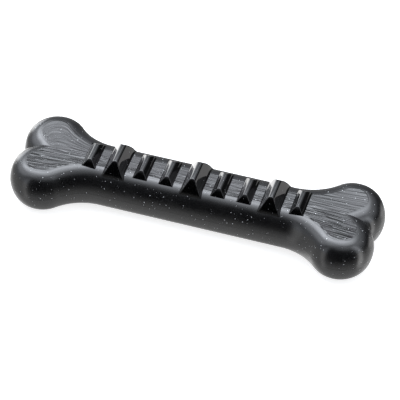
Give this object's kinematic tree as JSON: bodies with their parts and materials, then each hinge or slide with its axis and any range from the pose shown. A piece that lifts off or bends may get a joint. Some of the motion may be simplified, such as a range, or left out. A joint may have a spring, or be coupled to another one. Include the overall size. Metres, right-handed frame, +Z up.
{
  "type": "rubber chew toy",
  "caption": "Bone-shaped dog chew of solid black rubber with rounded flanks, paired knuckle ends and a row of low and tall wedge ribs keyed into its flat back.",
  "frame": {"origin": "centre of the flat underside, on the surface that the bone rests on", "axes": "+X along the bone to its right end in the picture, +Y across it to the far side, +Z up out of the ribbed back"},
  "size_m": [0.19, 0.055, 0.0311],
  "materials": {
    "body_rubber": "satin black rubber with fine white flecks and a faint lengthwise grain on the flat back",
    "rib_rubber": "smooth gloss black rubber"
  },
  "bodies": {
    "root": {"bone_body": "body_rubber", "small_rib_1": "rib_rubber", "tall_rib_2": "rib_rubber", "small_rib_3": "rib_rubber", "small_rib_4": "rib_rubber", "tall_rib_5": "rib_rubber", "small_rib_6": "rib_rubber", "small_rib_7": "rib_rubber", "tall_rib_8": "rib_rubber", "small_rib_9": "rib_rubber"}
  },
  "joints": []
}
